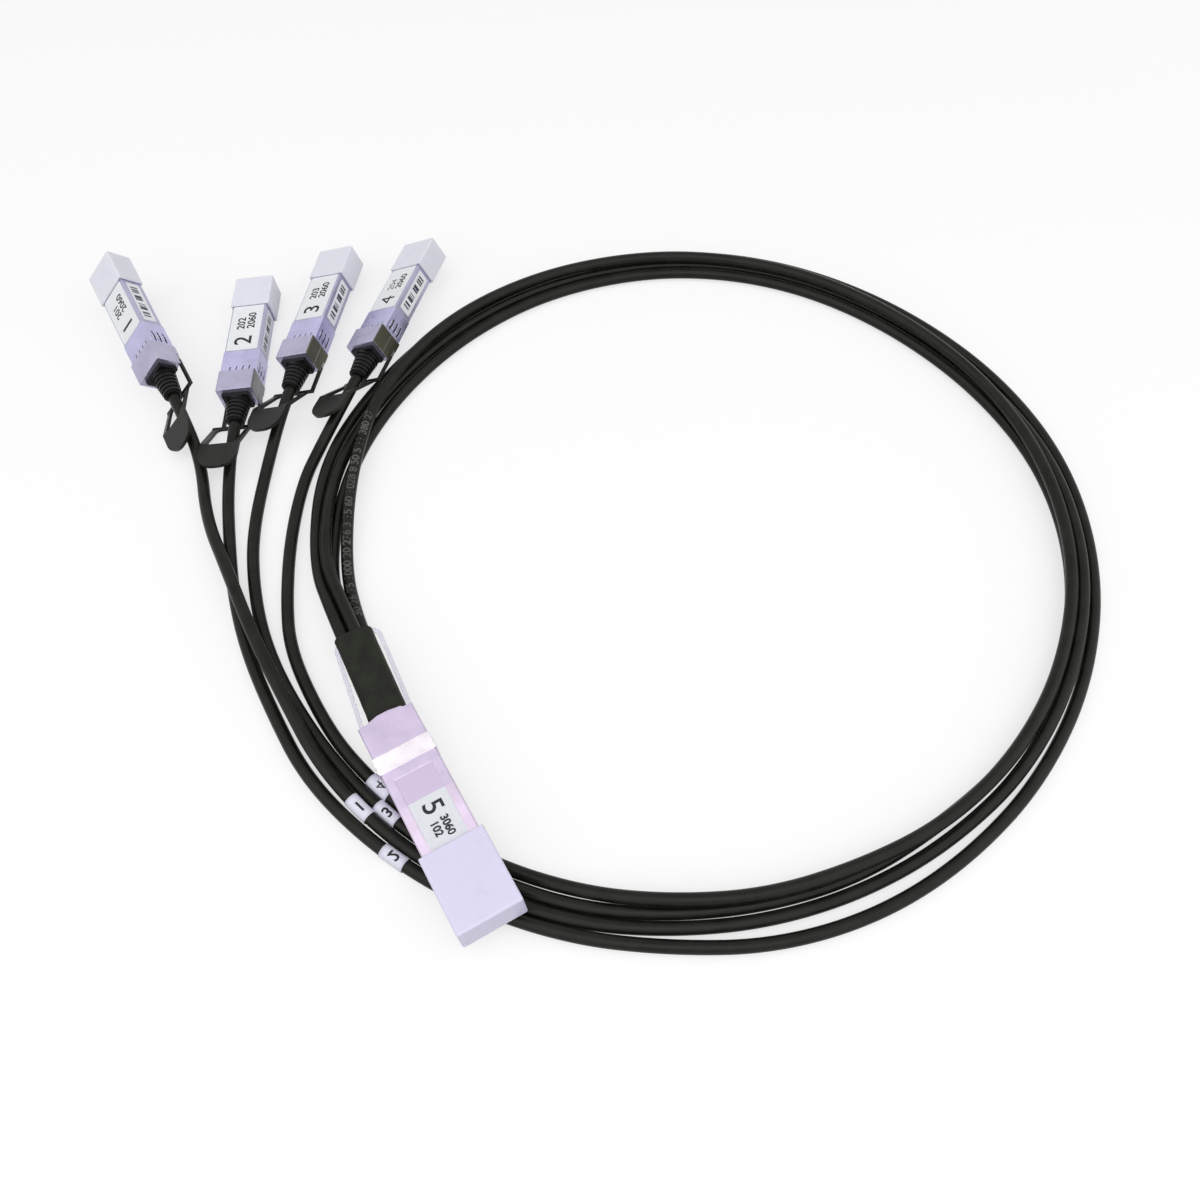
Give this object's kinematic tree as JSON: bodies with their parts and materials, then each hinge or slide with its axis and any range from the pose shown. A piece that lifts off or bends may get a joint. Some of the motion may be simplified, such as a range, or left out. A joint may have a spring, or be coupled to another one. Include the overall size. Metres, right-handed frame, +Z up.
{
  "type": "breakout direct attach copper cable",
  "caption": "Breakout copper cable: a wide plug in a shrunk sheath feeds thin black cables in a loose loop, each ending in a narrow latching plug with a pull tab and dust cap.",
  "frame": {"origin": "centre of the plugs' bounding box, on the table", "axes": "+Z up from the table, +Y away from the wide plug towards the narrow plugs, +X towards the loop of cable"},
  "size_m": [0.3728, 0.2907, 0.0245],
  "materials": {
    "plug_metal": "satin nickel plating",
    "quad_metal": "satin nickel plating",
    "board_green": "solder mask",
    "spring_metal": "bright plating",
    "latch_steel": "stamped steel",
    "spring_steel": "plain",
    "boot_rubber": "matt",
    "screw_steel": "plain",
    "cap_plastic": "translucent",
    "jacket_black": "slight sheen",
    "marker_white": "printed wrap",
    "sheath_black": "shrunk sleeve",
    "clamp_metal": "die cast",
    "label_white": "paper",
    "loop_plastic": "translucent",
    "tab_plastic": "moulded, slight sheen"
  },
  "bodies": {
    "assembly": {"quad_top_shell": "quad_metal", "quad_bottom_shell": "quad_metal", "quad_circuit_board": "board_green", "quad_contact_band": "spring_metal", "quad_latch_springs": "spring_steel", "quad_screws": "screw_steel", "quad_sheath": "sheath_black", "quad_cable_clamp": "clamp_metal", "quad_label": "label_white", "leg1_top_shell": "plug_metal", "leg1_bottom_shell": "plug_metal", "leg1_circuit_board": "board_green", "leg1_contact_collar": "spring_metal", "leg1_return_spring": "spring_steel", "leg1_boot": "boot_rubber", "leg1_screws": "screw_steel", "leg1_cable": "jacket_black", "leg1_marker_wrap": "marker_white", "leg2_top_shell": "plug_metal", "leg2_bottom_shell": "plug_metal", "leg2_circuit_board": "board_green", "leg2_contact_collar": "spring_metal", "leg2_return_spring": "spring_steel", "leg2_boot": "boot_rubber", "leg2_screws": "screw_steel", "leg2_cable": "jacket_black", "leg2_marker_wrap": "marker_white", "leg3_top_shell": "plug_metal", "leg3_bottom_shell": "plug_metal", "leg3_circuit_board": "board_green", "leg3_contact_collar": "spring_metal", "leg3_return_spring": "spring_steel", "leg3_boot": "boot_rubber", "leg3_screws": "screw_steel", "leg3_cable": "jacket_black", "leg3_marker_wrap": "marker_white", "leg4_top_shell": "plug_metal", "leg4_bottom_shell": "plug_metal", "leg4_circuit_board": "board_green", "leg4_contact_collar": "spring_metal", "leg4_return_spring": "spring_steel", "leg4_boot": "boot_rubber", "leg4_screws": "screw_steel", "leg4_cable": "jacket_black", "leg4_marker_wrap": "marker_white"},
    "quad_release": {"quad_latch_slider": "latch_steel", "quad_pull_tab": "loop_plastic"},
    "quad_cap": {"quad_dust_cap": "cap_plastic"},
    "leg1_release": {"leg1_latch_slider": "latch_steel", "leg1_pull_tab": "tab_plastic"},
    "leg1_cap": {"leg1_dust_cap": "cap_plastic"},
    "leg2_release": {"leg2_latch_slider": "latch_steel", "leg2_pull_tab": "tab_plastic"},
    "leg2_cap": {"leg2_dust_cap": "cap_plastic"},
    "leg3_release": {"leg3_latch_slider": "latch_steel", "leg3_pull_tab": "tab_plastic"},
    "leg3_cap": {"leg3_dust_cap": "cap_plastic"},
    "leg4_release": {"leg4_latch_slider": "latch_steel", "leg4_pull_tab": "tab_plastic"},
    "leg4_cap": {"leg4_dust_cap": "cap_plastic"}
  },
  "joints": [
    {"name": "quad_release_pull", "type": "slide", "parent": "assembly", "child": "quad_release", "axis": [-0.4889, 0.8712, -0.0436], "range_m": [0, 0.003], "stiffness_N_per_m": 400, "deforming": ["quad_latch_springs"]},
    {"name": "quad_cap_pull", "type": "slide", "parent": "assembly", "child": "quad_cap", "axis": [0.4889, -0.8712, 0.0436], "range_m": [0, 0.028]},
    {"name": "leg1_release_pull", "type": "slide", "parent": "assembly", "child": "leg1_release", "axis": [0.4958, -0.8657, -0.0698], "range_m": [0, 0.0023], "stiffness_N_per_m": 400, "deforming": ["leg1_return_spring"]},
    {"name": "leg1_cap_pull", "type": "slide", "parent": "assembly", "child": "leg1_cap", "axis": [-0.4958, 0.8657, 0.0698], "range_m": [0, 0.018]},
    {"name": "leg2_release_pull", "type": "slide", "parent": "assembly", "child": "leg2_release", "axis": [0.0297, -0.9996, 0], "range_m": [0, 0.0023], "stiffness_N_per_m": 400, "deforming": ["leg2_return_spring"]},
    {"name": "leg2_cap_pull", "type": "slide", "parent": "assembly", "child": "leg2_cap", "axis": [-0.0297, 0.9996, 0], "range_m": [0, 0.018]},
    {"name": "leg3_release_pull", "type": "slide", "parent": "assembly", "child": "leg3_release", "axis": [-0.1564, -0.9877, 0], "range_m": [0, 0.0023], "stiffness_N_per_m": 400, "deforming": ["leg3_return_spring"]},
    {"name": "leg3_cap_pull", "type": "slide", "parent": "assembly", "child": "leg3_cap", "axis": [0.1564, 0.9877, 0], "range_m": [0, 0.018]},
    {"name": "leg4_release_pull", "type": "slide", "parent": "assembly", "child": "leg4_release", "axis": [-0.2823, -0.9593, 0], "range_m": [0, 0.0023], "stiffness_N_per_m": 400, "deforming": ["leg4_return_spring"]},
    {"name": "leg4_cap_pull", "type": "slide", "parent": "assembly", "child": "leg4_cap", "axis": [0.2823, 0.9593, 0], "range_m": [0, 0.018]}
  ]
}
